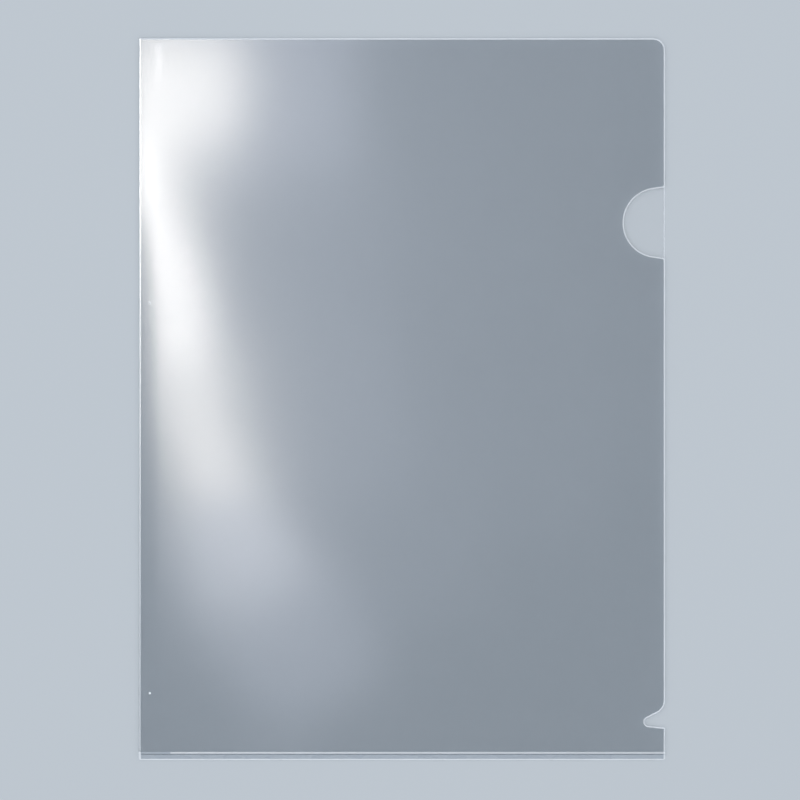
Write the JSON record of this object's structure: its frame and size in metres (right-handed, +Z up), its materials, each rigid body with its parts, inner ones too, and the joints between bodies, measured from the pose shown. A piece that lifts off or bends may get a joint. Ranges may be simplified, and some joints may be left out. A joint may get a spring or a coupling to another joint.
{
  "type": "clear document folder",
  "caption": "Clear L-shaped plastic folder: a folded, bottom-welded sheet, open at top and side, with a thumb notch and a front leaf that lifts to take loose papers.",
  "frame": {"origin": "middle of the folder's outline, on the underside of the back leaf, which lies on the table", "axes": "+X from the fold to the open side, +Y from the welded bottom edge to the open top, +Z up through the front leaf"},
  "size_m": [0.226, 0.31, 0.0009],
  "materials": {
    "back_sheet": "clear polypropylene film, smooth gloss",
    "front_sheet": "clear polypropylene film, fine matt emboss that hazes it",
    "fold": "heat-creased polypropylene, slightly clouded",
    "weld": "fused polypropylene, clouded where it melted"
  },
  "bodies": {
    "sleeve": {"back_leaf": "back_sheet", "front_leaf_held": "front_sheet", "spine_fold": "fold", "bottom_weld": "weld", "crease_pips": "weld"},
    "flap": {"front_leaf_flap": "front_sheet"}
  },
  "joints": [
    {"name": "flap_lift", "type": "hinge", "parent": "sleeve", "child": "flap", "pos_m": [0.0006, 0.00825, 0.0008], "axis": [0.5767, -0.8169, 0], "range_deg": [0, 70], "stiffness_Nm_per_rad": 0.003}
  ]
}
